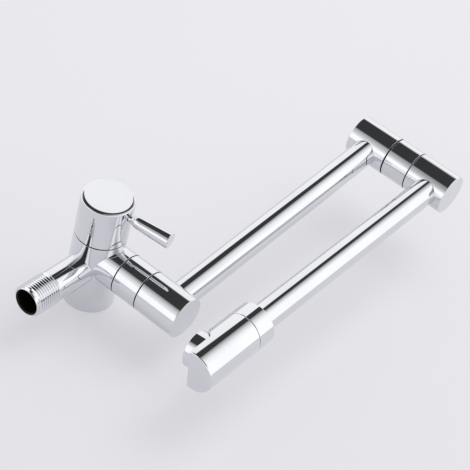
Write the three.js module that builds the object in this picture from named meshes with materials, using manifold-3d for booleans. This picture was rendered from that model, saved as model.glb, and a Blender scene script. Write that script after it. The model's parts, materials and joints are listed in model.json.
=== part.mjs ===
// Wall mounted pot filler: a quarter-turn valve body that screws into the wall, two straight arms
// that fold over each other on vertical swivels, and a spout head with a downward aerator.
//
// Millimetres, +Z up. The origin is the centre of the threaded inlet's end face, at the wall.
// +Y points into the wall, -Y out over the cooker, and +X is the valve's axis with the handle on it.
import * as THREE from "three";
import { mergeVertices } from "three/addons/utils/BufferGeometryUtils.js";
import Module from "manifold-3d";

const wasm = await Module();
wasm.setup();

// ---------------------------------------------------------------- driving sizes
const fitGap = 0.3; // clearance kept between pieces that touch or run on each other
const seamGap = 0.3; // shadow line between two visible pieces
const edge = 0.5; // small chamfer on turned edges

// valve body
const bodyRadius = 17;
const bodyLength = 54.4; // closed end to the handle seam
const closedEndX = -37; // closed end, measured from the outlet axis
const inletReach = 61.6; // body axis to the inlet's end face
const inletDrop = 5.3; // inlet axis below the outlet axis, towards the closed end
const inletPipeRadius = 10.25;
const threadRadius = 20.955 / 2; // 1/2 inch parallel pipe thread, major radius
const threadLength = 18.6;
const inletBoreRadius = 7.8;
const inletBoreDepth = 42;
const inletCountersink = 0.9;
const feedRadius = 4.4; // drilling from the inlet to the cartridge seat

// cartridge, along the valve axis
const seatX = -5; // seat of the ceramic cartridge
const chamberRadius = 5.4; // water chamber under the seat
const cageRadius = 9.6; // bore round the cartridge's cage
const headworkRadius = 10.4; // cartridge thread
const threadFloorX = 8; // where the cartridge thread starts
const ringPocketDepth = 1.5; // counterbore for the cartridge's O-ring
const ringPocketRadius = 12.6;
const hexFlats = 22;
const hexHeight = 4.5;
const discRadius = 7.3;
const discThickness = 2.6;
const discPortRadius = 1.9;
const discPortOffset = 3.7;
const sealThickness = 2.7;
const stemRadius = 4;
const stemFlangeThickness = 3.6;
const headworkNeckRadius = 7;
const headworkNeckHeight = 2.6; // above the hexagon

// handle
const capLength = 26.8; // cap seam to the start of its rounded shoulder
const capShoulder = 2.6; // radius of the rounded shoulder
const domeRise = 2.4; // crown of the dome above the shoulder
const capWall = 2;
const capBossRadius = 7.2;
const leverRise = 22.6; // handle seam to the lever's axis
const leverAngle = 7.9; // degrees towards the front, at rest
const leverReach = 46.5; // valve axis to the lever's flat end
const leverStubRadius = 2.2;
const leverNeckRadius = 2.6;
const leverNeckLength = 1.6;
const leverFlareLength = 5.4;
const leverRootRadius = 4.1;
const leverTipRadius = 5.1;
const leverTipEdge = 0.6;
const screwRadius = 2;
const screwOffset = 8; // grub screw below the lever, along the valve axis

// swivels and arms
const hubRadius = 14;
const neckTop = 25; // seam under the first swivel ring, above the valve axis
const ringLength = 18.6;
const hubLength = 30.2;
const armInset = 16.2; // hub seam to the arm's axis
const armRadius = 9;
const armWall = 1.2;
const armSpan = 214; // swivel axis to swivel axis
const armSeat = 10; // swivel axis to the arm's inner end
const waterRadius = 7.2; // outlet bore and the bore of each swivel's fixed side
const stubRadius = 9.7; // threaded stub that carries the swivel ring
const stubHeight = 8;
const spigotRadius = 8.5;
const spigotBore = 4.8;
const spigotNose = 6; // length of the nose that dips into the stub
const flangeThickness = 2.6;
const spigotReach = 20; // hub seam to the spigot's open end
const hubBoreReach = 24.2; // hub seam to the bottom of its blind bore
const portRadius = 3.6;
const bushRadius = 11;
const bushLength = 5.6;
const grooveWidth = 1.8;
const grooveDepth = 1.1;

// spout head, measured from the elbow axis along the upper arm
const collarStart = 194.2;
const collarLength = 13.2;
const tubeInsert = 5; // length of arm inside the collar
const headStepWall = 2.4; // spigot's end to the step where the underside turns flat
const aeratorSetback = 19.6; // that step to the aerator's axis
const headNose = 16.6; // aerator's axis to the head's end
const headEdge = 1; // chamfer on the head's end
const headFlatDrop = 3.5; // flat below the head's axis
const aeratorRadius = 12;
const aeratorBottom = 12.1; // water's way out, below the head's axis
const aeratorSeat = 5.4; // aerator thread above the flat
const aeratorWall = 2.8;
const aeratorLip = 1; // inward lip that holds the insert
const aeratorLipHeight = 1.2;
const washerThickness = 0.9;
const insertHoleRadius = 1;
const insertOuterRing = 6; // radius of the outer ring of holes
const insertInnerRing = 2.8;
const headSpigotRadius = 7;
const headSpigotBore = 4.6;
const headSpigotReach = 7.2; // head seam to the spigot's end
const headSpigotFlange = 2.3;
const headGrooveReach = 2.3; // head seam to the middle of the O-ring's groove
const headClipReach = 5.3; // head seam to the middle of the clip's groove
const channelRadius = 3.8;
const channelRise = 3.4; // water channel above the head's axis
const clipWidth = 1.2;

// rest pose, degrees
const baseSwing = 5.7; // lower arm, towards the handle side
const upperSwing = 182.1; // upper arm, folded back over the lower arm
const headRoll = 8; // spout head about its own axis

// facets
const fine = 36;
const medium = 24;
const coarse = 16;

const degrees = Math.PI / 180;

// ---------------------------------------------------------------- finishes
const finish = (color, metalness, roughness) =>
  new THREE.MeshStandardMaterial({ color, metalness, roughness });
const chrome = finish(0xdfe2e6, 1, 0.05);
const brass = finish(0xc9a24b, 1, 0.35);
const steel = finish(0xb9bcc0, 1, 0.3);
const rubber = finish(0x161616, 0, 0.8);
const nylon = finish(0xe9e7e0, 0, 0.5);
const ceramic = finish(0xf3f1ea, 0, 0.3);

// ---------------------------------------------------------------- solids
// A solid from a closed geometry, turned right side out.
function solid(geometry) {
  const bare = geometry.index ? geometry.toNonIndexed() : geometry.clone();
  bare.deleteAttribute("normal");
  bare.deleteAttribute("uv");
  const merged = mergeVertices(bare, 1e-4);
  const kept = [];
  const index = merged.index.array;
  for (let i = 0; i < index.length; i += 3) {
    const [a, b, c] = [index[i], index[i + 1], index[i + 2]];
    if (a !== b && b !== c && c !== a) kept.push(a, b, c);
  }
  const make = (triVerts) =>
    new wasm.Manifold(
      new wasm.Mesh({
        numProp: 3,
        vertProperties: merged.attributes.position.array,
        triVerts: new Uint32Array(triVerts),
      }),
    );
  const made = make(kept);
  if (made.volume() > 0) return made;
  return make(kept.reverse());
}

// A turned solid about Z. The profile is a list of [radius, height].
function turned(profile, facets = medium) {
  const points = profile.map(([radius, height]) => new THREE.Vector2(radius, height));
  const first = points[0];
  const last = points[points.length - 1];
  const open = first.x > 0 || last.x > 0;
  if (open && !first.equals(last)) points.push(first.clone());
  const lathe = new THREE.LatheGeometry(points, facets);
  lathe.rotateX(Math.PI / 2);
  return solid(lathe);
}

// A plain round bar about Z from one height to another.
const bar = (radius, from, to, facets = medium) =>
  turned([[0, from], [radius, from], [radius, to], [0, to]], facets);

// A round bar with a chamfer at each end that asks for one.
function chamferedBar(radius, from, to, low, high, facets = fine) {
  const profile = [[0, from]];
  if (low > 0) profile.push([radius - low, from]);
  profile.push([radius, from + low], [radius, to - high]);
  if (high > 0) profile.push([radius - high, to]);
  profile.push([0, to]);
  return turned(profile, facets);
}

// A washer or sleeve about Z.
const sleeve = (inner, outer, from, to, facets = medium) =>
  turned([[inner, from], [outer, from], [outer, to], [inner, to]], facets);

// An O-ring about Z, squeezed between two radii to an oval section.
function oRing(inner, outer, centre, height) {
  const middle = (outer + inner) / 2;
  const sides = 6;
  const profile = Array.from({ length: sides }, (_, i) => {
    const turn = (i / sides) * 2 * Math.PI;
    return [
      middle + ((outer - inner) / 2) * Math.cos(turn),
      centre + (height / 2) * Math.sin(turn),
    ];
  });
  return turned(profile, coarse);
}

// A six-sided bar about Z, its size given across the flats.
function hexBar(acrossFlats, from, to) {
  const corner = acrossFlats / Math.sqrt(3);
  return turned([[0, from], [corner, from], [corner, to], [0, to]], 6);
}

// A spring clip: a flat ring with a gap at one side.
function clipRing(inner, outer, centre, thickness) {
  const ring = sleeve(inner, outer, centre - thickness / 2, centre + thickness / 2, coarse);
  const gap = block(outer, outer / 2, 2 * thickness, outer, 0, centre);
  return ring.subtract(gap);
}

function block(x, y, z, centreX, centreY, centreZ) {
  const box = new THREE.BoxGeometry(x, y, z);
  box.translate(centreX, centreY, centreZ);
  return solid(box);
}

// The solid moved by a matrix made from a position and a rotation in degrees.
function placed(shape, position, rotation = [0, 0, 0]) {
  const turn = new THREE.Euler(...rotation.map((angle) => angle * degrees));
  const matrix = new THREE.Matrix4().compose(
    new THREE.Vector3(...position),
    new THREE.Quaternion().setFromEuler(turn),
    new THREE.Vector3(1, 1, 1),
  );
  const mesh = shape.getMesh();
  const geometry = geometryOf(mesh);
  geometry.applyMatrix4(matrix);
  return solid(geometry);
}

const alongX = (shape, position = [0, 0, 0]) => placed(shape, position, [0, 90, 0]);
const alongY = (shape, position = [0, 0, 0]) => placed(shape, position, [-90, 0, 0]);

function geometryOf(mesh) {
  const positions = new Float32Array(mesh.triVerts.length * 3);
  mesh.triVerts.forEach((vertex, i) => {
    for (let k = 0; k < 3; k += 1) positions[i * 3 + k] = mesh.vertProperties[vertex * mesh.numProp + k];
  });
  const geometry = new THREE.BufferGeometry();
  geometry.setAttribute("position", new THREE.BufferAttribute(positions, 3));
  return geometry;
}

function cut(shape, ...tools) {
  return tools.reduce((rest, tool) => rest.subtract(tool), shape);
}

function addPiece(group, name, shape, material) {
  const geometry = geometryOf(shape.getMesh());
  geometry.computeVertexNormals();
  const mesh = new THREE.Mesh(geometry, material);
  mesh.name = name;
  group.add(mesh);
}

// ---------------------------------------------------------------- valve body
// Drawn about the point where the outlet axis crosses the valve axis.
const handleSeamX = closedEndX + bodyLength;
const leverX = handleSeamX + leverRise;
const feedX = seatX - feedRadius - 0.6;
const past = 1; // how far a cutting tool runs past the face it cuts

function valveBody() {
  const casting = alongX(chamferedBar(bodyRadius, closedEndX, handleSeamX, edge, 0))
    .add(bar(hubRadius, 0, neckTop, fine))
    .add(bar(stubRadius, neckTop - past, neckTop + stubHeight));
  const threadFrom = inletReach - threadLength;
  const inlet = turned(
    [
      [0, 0],
      [inletPipeRadius, 0],
      [inletPipeRadius, threadFrom],
      [threadRadius, threadFrom],
      [threadRadius, inletReach - edge],
      [threadRadius - edge, inletReach],
      [0, inletReach],
    ],
    fine,
  );
  const mouth = turned([
    [0, inletReach - inletBoreDepth],
    [inletBoreRadius, inletReach - inletBoreDepth],
    [inletBoreRadius, inletReach - inletCountersink],
    [inletBoreRadius + inletCountersink, inletReach],
    [inletBoreRadius + inletCountersink, inletReach + past],
    [0, inletReach + past],
  ]);
  const inletAt = [-inletDrop, 0, 0];
  const feedReach = inletReach - inletBoreDepth + past;
  return cut(
    casting.add(alongY(inlet, inletAt)),
    alongY(mouth, inletAt),
    alongX(bar(chamberRadius, feedX - feedRadius - 1, seatX + past, coarse)),
    alongY(bar(feedRadius, 0, feedReach, coarse), [feedX, 0, 0]),
    alongX(bar(cageRadius, seatX, threadFloorX + past)),
    alongX(bar(headworkRadius + fitGap, threadFloorX, handleSeamX + past)),
    alongX(bar(ringPocketRadius, handleSeamX - ringPocketDepth, handleSeamX + past)),
    bar(waterRadius, 0, neckTop + stubHeight + past),
  );
}

// ---------------------------------------------------------------- cartridge
// Drawn about Z, which lies along the valve axis once the cartridge is in place.
const hexFrom = handleSeamX + fitGap;
const hexTo = hexFrom + hexHeight;
const neckTo = hexTo + headworkNeckHeight;
const runGap = 0.1; // lapped discs run almost face to face
const sealFrom = seatX + runGap;
const fixedDiscFrom = sealFrom + sealThickness + runGap;
const movingDiscFrom = fixedDiscFrom + discThickness + runGap;
const stemFoot = movingDiscFrom + discThickness + runGap;
const stemFlangeTo = stemFoot + stemFlangeThickness;
const stemTop = leverX + leverStubRadius;
const stemRingHeight = (stemFlangeTo + hexTo) / 2;
const clipHeight = neckTo + fitGap + 0.4;

function cartridgeBody() {
  const cageOuter = cageRadius - fitGap;
  const shell = turned([
    [0, seatX + fitGap],
    [cageOuter, seatX + fitGap],
    [cageOuter, threadFloorX + fitGap],
    [headworkRadius, threadFloorX + fitGap],
    [headworkRadius, hexFrom],
    [headworkNeckRadius, hexFrom],
    [headworkNeckRadius, neckTo],
    [0, neckTo],
  ]);
  const windowRadius = discThickness;
  const window = placed(
    bar(windowRadius, -cageRadius - past, cageRadius + past, coarse),
    [0, 0, movingDiscFrom + discThickness / 2],
    [0, 90, 0],
  );
  return cut(
    shell.add(hexBar(hexFlats, hexFrom, hexTo)),
    bar(discRadius + fitGap, seatX, stemFlangeTo + fitGap),
    bar(stemRadius + fitGap, seatX, neckTo + past, coarse),
    window,
  );
}

// A groove cut into a turned profile, from its lower wall to its upper one.
const groove = (radius, depth, centre, width) => [
  [radius, centre - width / 2],
  [radius - depth, centre - width / 2],
  [radius - depth, centre + width / 2],
  [radius, centre + width / 2],
];

function cartridgeStem() {
  return turned(
    [
      [0, stemFoot],
      [discRadius, stemFoot],
      [discRadius, stemFlangeTo],
      [stemRadius, stemFlangeTo],
      ...groove(stemRadius, grooveDepth, stemRingHeight, grooveWidth),
      ...groove(stemRadius, grooveDepth, clipHeight, clipWidth),
      [stemRadius, stemTop - edge],
      [stemRadius - edge, stemTop],
      [0, stemTop],
    ],
    coarse,
  );
}

// A ceramic disc with two round ports, one each side of its middle.
function ceramicDisc(from) {
  const disc = bar(discRadius, from, from + discThickness);
  const port = bar(discPortRadius, from - past, from + discThickness + past, 12);
  return cut(
    disc,
    placed(port, [discPortOffset, 0, 0]),
    placed(port, [-discPortOffset, 0, 0]),
  );
}

const seatSeal = () =>
  sleeve(chamberRadius + 0.4, discRadius, sealFrom, sealFrom + sealThickness, coarse);

const cartridgeORing = () =>
  oRing(headworkRadius + fitGap, ringPocketRadius - fitGap, handleSeamX - ringPocketDepth / 2, 1.2);

// An O-ring seated in a groove and filling the bore round it.
const seatedORing = (radius, centre, bore) =>
  oRing(radius - grooveDepth + 0.1, bore - 0.1, centre, grooveWidth - 0.4);

// ---------------------------------------------------------------- handle
// Drawn about Z like the cartridge, with the lever towards -X, which is up once it is in place.
const capFrom = handleSeamX + seamGap;
const capTo = capFrom + capLength;
const capTop = capTo + capShoulder + domeRise;
const capBossFrom = clipHeight + 1.5;
const leverFoot = stemRadius + 2 * fitGap;
const leverPlaced = (shape) => placed(shape, [0, 0, leverX], [0, -90, 0]);
const screwPlaced = (shape) => placed(shape, [0, 0, leverX - screwOffset], [0, 90, 0]);

function handleCap() {
  const outer = [
    [0, capFrom],
    [bodyRadius, capFrom],
    [bodyRadius, capTo],
  ];
  const shoulderSteps = 3;
  const shoulderTurn = 66 * degrees;
  for (let i = 1; i <= shoulderSteps; i += 1) {
    const turn = (i / shoulderSteps) * shoulderTurn;
    outer.push([
      bodyRadius - capShoulder * (1 - Math.cos(turn)),
      capTo + capShoulder * Math.sin(turn),
    ]);
  }
  const [crownRadius, crownFrom] = outer[outer.length - 1];
  const rise = capTop - crownFrom;
  const ball = (crownRadius ** 2 + rise ** 2) / (2 * rise);
  const crownSteps = 4;
  for (let i = crownSteps - 1; i >= 0; i -= 1) {
    const radius = (crownRadius * i) / crownSteps;
    outer.push([radius, capTop - ball + Math.sqrt(ball ** 2 - radius ** 2)]);
  }
  const cavity = cut(
    bar(bodyRadius - capWall, capFrom - past, capTo - capWall / 2),
    bar(capBossRadius, capBossFrom, capTo),
  );
  return cut(
    turned(outer, fine),
    cavity,
    bar(stemRadius + fitGap, capFrom, stemTop + fitGap, coarse),
    leverPlaced(bar(leverStubRadius + fitGap, 0, bodyRadius + past, 12)),
    screwPlaced(bar(screwRadius + fitGap, 0, bodyRadius + past, 12)),
  );
}

function lever() {
  const root = bodyRadius + fitGap;
  const flareFrom = root + leverNeckLength;
  const profile = [
    [0, leverFoot],
    [leverStubRadius, leverFoot],
    [leverStubRadius, root],
    [leverNeckRadius, root],
    [leverNeckRadius, flareFrom],
  ];
  const flareSteps = 4;
  for (let i = 1; i <= flareSteps; i += 1) {
    const share = i / flareSteps;
    profile.push([
      leverNeckRadius + (leverRootRadius - leverNeckRadius) * Math.sin((share * Math.PI) / 2),
      flareFrom + leverFlareLength * share,
    ]);
  }
  profile.push(
    [leverTipRadius, leverReach - leverTipEdge],
    [leverTipRadius - leverTipEdge, leverReach],
    [0, leverReach],
  );
  return leverPlaced(turned(profile, medium));
}

// The screw bears on the stem through the boss inside the cap.
function grubScrew() {
  const from = stemRadius + 2 * fitGap;
  const to = bodyRadius - edge;
  const socket = hexBar(screwRadius, to - 2.5, to + past);
  return screwPlaced(bar(screwRadius, from, to, 12).subtract(socket));
}

// ---------------------------------------------------------------- swivels
// A fixed stub carries a ring nut. The ring traps the flange of a spigot, and the spigot is
// screwed into the hub that turns. Heights are measured up from the seam under the ring.
const flangeFrom = stubHeight + fitGap;
const flangeTo = flangeFrom + flangeThickness;
const spigotTop = ringLength + spigotReach;
const bushFrom = ringLength - bushLength;
const noseRadius = waterRadius - fitGap;
const noseGroove = flangeFrom - spigotNose / 2;
const hubGroove = ringLength + (armInset - armRadius) / 2;

function swivelRing() {
  const nutRadius = stubRadius + fitGap;
  const runRadius = spigotRadius + fitGap;
  return turned(
    [
      [nutRadius, seamGap],
      [hubRadius, seamGap],
      [hubRadius, ringLength],
      [bushRadius + fitGap, ringLength],
      [bushRadius + fitGap, bushFrom - fitGap],
      [runRadius, bushFrom - fitGap],
      [runRadius, flangeTo + fitGap],
      [nutRadius, flangeTo + fitGap],
    ],
    fine,
  );
}

const swivelBush = () => sleeve(spigotRadius + fitGap, bushRadius, bushFrom, ringLength);

function swivelSpigot() {
  const shaft = turned([
    [spigotBore, flangeFrom - spigotNose],
    [noseRadius, flangeFrom - spigotNose],
    ...groove(noseRadius, grooveDepth, noseGroove, grooveWidth),
    [noseRadius, flangeFrom],
    [stubRadius, flangeFrom],
    [stubRadius, flangeTo],
    [spigotRadius, flangeTo],
    ...groove(spigotRadius, grooveDepth, hubGroove, grooveWidth),
    [spigotRadius, spigotTop],
    [spigotBore, spigotTop],
  ]);
  const port = bar(portRadius, -spigotRadius - past, spigotRadius + past, 12);
  return shaft.subtract(alongY(port, [0, 0, ringLength + armInset - 1]));
}

// A hub is closed at its far end and has the arm let into its side at -Y.
// It is drawn with its open end at the seam height zero and its closed end upwards.
function swivelHub(boreRadius, boreReach) {
  const shell = chamferedBar(hubRadius, seamGap, hubLength, 0, edge);
  const armAt = [0, 0, armInset];
  const pocket = bar(armRadius + fitGap, -hubRadius - past, fitGap - armSeat, fine);
  const waterway = bar(armRadius - armWall, -armSeat, 0);
  return cut(shell, bar(boreRadius, -past, boreReach), alongY(pocket, armAt), alongY(waterway, armAt));
}

const runningHub = () => swivelHub(spigotRadius + fitGap, hubBoreReach);

// The elbow's lower hub is the fixed side of the second swivel, so it has a stub of its own.
function carrierHub() {
  const shell = swivelHub(waterRadius, hubBoreReach);
  return shell.add(sleeve(waterRadius, stubRadius, -stubHeight, seamGap + past));
}

const armTube = (from, to) => alongY(sleeve(armRadius - armWall, armRadius, -to, -from, fine));

// ---------------------------------------------------------------- spout head
// Drawn about Z along the upper arm, with the underside at the group's -X.
const collarEnd = collarStart + collarLength;
const headStart = collarEnd + seamGap;
const tubeEnd = collarStart + tubeInsert;
const flangeSeat = tubeEnd + headSpigotFlange + 2 * fitGap;
const headBore = headSpigotRadius + fitGap;
const headGroove = headStart + headGrooveReach;
const headClipAt = headStart + headClipReach;
const headSpigotEnd = headStart + headSpigotReach;
const headFlatStart = headSpigotEnd + headStepWall;
const aeratorReach = headFlatStart + aeratorSetback;
const headEnd = aeratorReach + headNose;

const headCollar = () =>
  turned(
    [
      [armRadius + fitGap, collarStart],
      [hubRadius - edge, collarStart],
      [hubRadius, collarStart + edge],
      [hubRadius, collarEnd],
      [headBore, collarEnd],
      [headBore, flangeSeat],
      [armRadius + fitGap, flangeSeat],
    ],
    fine,
  );

const headSpigot = () =>
  turned([
    [headSpigotBore, tubeEnd + fitGap],
    [armRadius, tubeEnd + fitGap],
    [armRadius, flangeSeat - fitGap],
    [headSpigotRadius, flangeSeat - fitGap],
    ...groove(headSpigotRadius, grooveDepth, headGroove, grooveWidth),
    ...groove(headSpigotRadius, grooveDepth, headClipAt, clipWidth),
    [headSpigotRadius, headSpigotEnd],
    [headSpigotBore, headSpigotEnd],
  ]);

// The aerator's pieces are drawn about Z, downwards positive, then turned to the head's underside.
const aeratorPlaced = (shape) => placed(shape, [0, 0, aeratorReach], [0, -90, 0]);
const aeratorStub = aeratorRadius - 1.4;
const aeratorBore = aeratorRadius - aeratorWall;
const washerFrom = headFlatDrop - aeratorSeat;
const housingTop = washerFrom + washerThickness + fitGap;
const aeratorFrom = headFlatDrop + fitGap;
const lipFrom = aeratorBottom - aeratorLipHeight;

function spoutHead() {
  const shell = chamferedBar(hubRadius, headStart, headEnd, 0, headEdge);
  const flatLength = headEnd - headFlatStart + past;
  const flat = block(
    hubRadius,
    2 * hubRadius + 2 * past,
    flatLength,
    -headFlatDrop - hubRadius / 2,
    0,
    headFlatStart + flatLength / 2,
  );
  const clipGroove = bar(headBore + 0.9, headClipAt - clipWidth / 2, headClipAt + clipWidth / 2);
  const channel = bar(channelRadius, headSpigotEnd, aeratorReach + channelRadius, coarse);
  const seat = bar(aeratorStub + fitGap, washerFrom - fitGap, hubRadius + past);
  return cut(
    shell,
    flat,
    bar(headBore, headStart - past, headSpigotEnd + fitGap),
    clipGroove,
    placed(channel, [channelRise, 0, 0]),
    aeratorPlaced(seat),
  );
}

const aeratorHousing = () =>
  aeratorPlaced(
    turned(
      [
        [aeratorBore, housingTop],
        [aeratorStub, housingTop],
        [aeratorStub, aeratorFrom],
        [aeratorRadius, aeratorFrom],
        [aeratorRadius, aeratorBottom - edge],
        [aeratorRadius - edge, aeratorBottom],
        [aeratorBore - aeratorLip, aeratorBottom],
        [aeratorBore - aeratorLip, lipFrom],
        [aeratorBore, lipFrom],
      ],
      fine,
    ),
  );

// The insert breaks the water up through two rings of small holes.
function aeratorInsert() {
  const from = housingTop + 1;
  const to = lipFrom - fitGap;
  const rings = [
    { count: 10, radius: insertOuterRing },
    { count: 5, radius: insertInnerRing },
  ];
  const holes = rings.flatMap(({ count, radius }) =>
    Array.from({ length: count }, (_, i) => {
      const turn = (i / count) * 2 * Math.PI;
      const at = [radius * Math.cos(turn), radius * Math.sin(turn), 0];
      return placed(bar(insertHoleRadius, from - past, to + past, 8), at);
    }),
  );
  return aeratorPlaced(cut(bar(aeratorBore - fitGap, from, to), ...holes));
}

const aeratorWasher = () =>
  aeratorPlaced(
    sleeve(aeratorBore - 1.6, aeratorStub, washerFrom, washerFrom + washerThickness, coarse),
  );

// ---------------------------------------------------------------- assembly
const potFiller = new THREE.Group();

// The valve's group sits where the outlet axis crosses the valve axis.
const valve = new THREE.Group();
valve.position.set(inletDrop, -inletReach, 0);
potFiller.add(valve);
addPiece(valve, "valve_body", valveBody(), chrome);

const cartridge = new THREE.Group();
cartridge.rotation.y = Math.PI / 2;
valve.add(cartridge);
addPiece(cartridge, "cartridge_body", cartridgeBody(), brass);
addPiece(cartridge, "fixed_disc", ceramicDisc(fixedDiscFrom), ceramic);
addPiece(cartridge, "seat_seal", seatSeal(), rubber);
addPiece(cartridge, "cartridge_o_ring", cartridgeORing(), rubber);

const handle = new THREE.Group();
handle.rotation.z = leverAngle * degrees;
cartridge.add(handle);
addPiece(handle, "handle_cap", handleCap(), chrome);
addPiece(handle, "handle_lever", lever(), chrome);
addPiece(handle, "handle_grub_screw", grubScrew(), steel);
addPiece(handle, "cartridge_stem", cartridgeStem(), brass);
addPiece(handle, "moving_disc", ceramicDisc(movingDiscFrom), ceramic);
addPiece(handle, "stem_o_ring", seatedORing(stemRadius, stemRingHeight, stemRadius + fitGap), rubber);
addPiece(
  handle,
  "stem_clip",
  clipRing(stemRadius - grooveDepth + fitGap, stemRadius + 1.6, clipHeight, clipWidth - 0.4),
  steel,
);

// Adds a swivel's pieces: the ring and bush stay with the stub, the rest turns with the hub.
function addSwivel(fixed, moving, name, seamHeight) {
  const at = (shape) => placed(shape, [0, 0, seamHeight]);
  const noseRing = seatedORing(noseRadius, noseGroove, waterRadius);
  const hubRing = seatedORing(spigotRadius, hubGroove, spigotRadius + fitGap);
  addPiece(fixed, `${name}_ring`, at(swivelRing()), chrome);
  addPiece(fixed, `${name}_bush`, at(swivelBush()), nylon);
  addPiece(moving, `${name}_spigot`, at(swivelSpigot()), brass);
  addPiece(moving, `${name}_lower_o_ring`, at(noseRing), rubber);
  addPiece(moving, `${name}_upper_o_ring`, at(hubRing), rubber);
}

// The lower arm turns about the outlet axis.
const lowerArm = new THREE.Group();
lowerArm.rotation.z = baseSwing * degrees;
valve.add(lowerArm);
addSwivel(valve, lowerArm, "base", neckTop);
const baseHubAt = neckTop + ringLength;
const lowerArmHeight = baseHubAt + armInset;
addPiece(lowerArm, "base_hub", placed(runningHub(), [0, 0, baseHubAt]), chrome);
const lowerTube = armTube(armSeat, armSpan - armSeat);
addPiece(lowerArm, "lower_arm", placed(lowerTube, [0, 0, lowerArmHeight]), chrome);

// The elbow's lower hub hangs on the lower arm's far end, upside down.
const elbow = new THREE.Group();
elbow.position.set(0, -armSpan, 0);
lowerArm.add(elbow);
const elbowSeam = lowerArmHeight + armInset;
addPiece(elbow, "elbow_lower_hub", placed(carrierHub(), [0, 0, elbowSeam], [180, 0, 0]), chrome);

// The upper arm turns about the elbow and is folded back over the lower one.
const upperArm = new THREE.Group();
upperArm.rotation.z = (upperSwing - baseSwing) * degrees;
elbow.add(upperArm);
addSwivel(elbow, upperArm, "elbow", elbowSeam);
const elbowHubAt = elbowSeam + ringLength;
const upperArmHeight = elbowHubAt + armInset;
addPiece(upperArm, "elbow_upper_hub", placed(runningHub(), [0, 0, elbowHubAt]), chrome);
const upperTube = armTube(armSeat, tubeEnd);
addPiece(upperArm, "upper_arm", placed(upperTube, [0, 0, upperArmHeight]), chrome);

// The spout's own Z runs out along the upper arm, and its -X points down.
const spout = new THREE.Group();
spout.position.set(0, 0, upperArmHeight);
spout.setRotationFromMatrix(
  new THREE.Matrix4().makeBasis(
    new THREE.Vector3(0, 0, 1),
    new THREE.Vector3(-1, 0, 0),
    new THREE.Vector3(0, -1, 0),
  ),
);
upperArm.add(spout);
addPiece(spout, "head_collar", headCollar(), chrome);
addPiece(spout, "head_spigot", headSpigot(), brass);
addPiece(spout, "head_o_ring", seatedORing(headSpigotRadius, headGroove, headBore), rubber);
addPiece(
  spout,
  "head_clip",
  clipRing(headSpigotRadius - grooveDepth + fitGap, headBore + 0.6, headClipAt, clipWidth - 0.4),
  steel,
);

// The head turns about the same axis.
const head = new THREE.Group();
head.rotation.z = headRoll * degrees;
spout.add(head);
addPiece(head, "spout_head", spoutHead(), chrome);
addPiece(head, "aerator_housing", aeratorHousing(), chrome);
addPiece(head, "aerator_insert", aeratorInsert(), nylon);
addPiece(head, "aerator_washer", aeratorWasher(), rubber);

export default potFiller;
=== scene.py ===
import json
import math

import bmesh
import bpy
import numpy as np
from mathutils import Matrix, Vector

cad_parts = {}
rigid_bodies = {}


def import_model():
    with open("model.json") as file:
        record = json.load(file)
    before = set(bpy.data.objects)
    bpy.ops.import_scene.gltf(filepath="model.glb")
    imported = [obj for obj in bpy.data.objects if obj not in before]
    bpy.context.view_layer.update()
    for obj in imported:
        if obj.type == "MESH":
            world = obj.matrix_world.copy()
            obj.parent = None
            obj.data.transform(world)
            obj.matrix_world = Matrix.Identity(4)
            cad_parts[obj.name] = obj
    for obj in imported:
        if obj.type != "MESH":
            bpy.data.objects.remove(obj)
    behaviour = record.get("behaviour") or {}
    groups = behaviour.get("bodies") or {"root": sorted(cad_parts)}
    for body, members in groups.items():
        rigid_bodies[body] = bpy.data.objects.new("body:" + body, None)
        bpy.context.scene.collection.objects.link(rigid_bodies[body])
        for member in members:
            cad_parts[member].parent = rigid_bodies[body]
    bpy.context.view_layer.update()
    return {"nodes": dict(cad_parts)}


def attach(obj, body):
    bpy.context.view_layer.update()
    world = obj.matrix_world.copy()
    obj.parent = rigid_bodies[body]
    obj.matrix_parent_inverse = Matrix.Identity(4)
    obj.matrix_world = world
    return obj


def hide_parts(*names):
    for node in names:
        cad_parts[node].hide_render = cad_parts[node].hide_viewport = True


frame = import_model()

mm = 0.001
print("frame loaded:", len(frame["nodes"]), "nodes")

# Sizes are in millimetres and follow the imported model, with its origin at the inlet's end face.
layout = {
    "outlet": (5.3, -61.6),  # where the outlet axis crosses the valve axis
    "elbow": (26.554, -274.542),
    "inletX": 0.0,
    "lowerArmZ": 59.8,
    "upperArmZ": 110.8,
    "baseSwing": 5.7,
    "upperSwing": 182.1,
    "headRoll": 8.0,
    "leverLean": 7.9,
    "floorX": -31.7,
}
seam = 0.5  # start of a piece past the seam under it
seamBack = 0.2  # end of a piece short of its seam
seamRound = 0.25  # rounded edge beside each seam
smooth = 160  # facets round a turned piece
plain = 64  # facets round a bore
nearby = 0.004  # how far a corner may stray from the turned surface it belongs to
sameWay = 0.8  # least agreement of a face with that surface's normals
touch = 0.01  # slack in telling which side of a height a strip lies
past = 1  # how far a cut or a joint runs past the surface it starts from


# ---- turned shapes

def axisFrame(origin, along, side):
    z = Vector(along).normalized()
    x = Vector(side)
    x = (x - z * x.dot(z)).normalized()
    matrix = Matrix((x, z.cross(x), z)).transposed().to_4x4()
    matrix.translation = Vector(origin)
    return matrix


def swing(degrees):
    # the direction of an arm that has turned this far from -Y
    return Vector((math.sin(math.radians(degrees)), -math.cos(math.radians(degrees)), 0))


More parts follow.
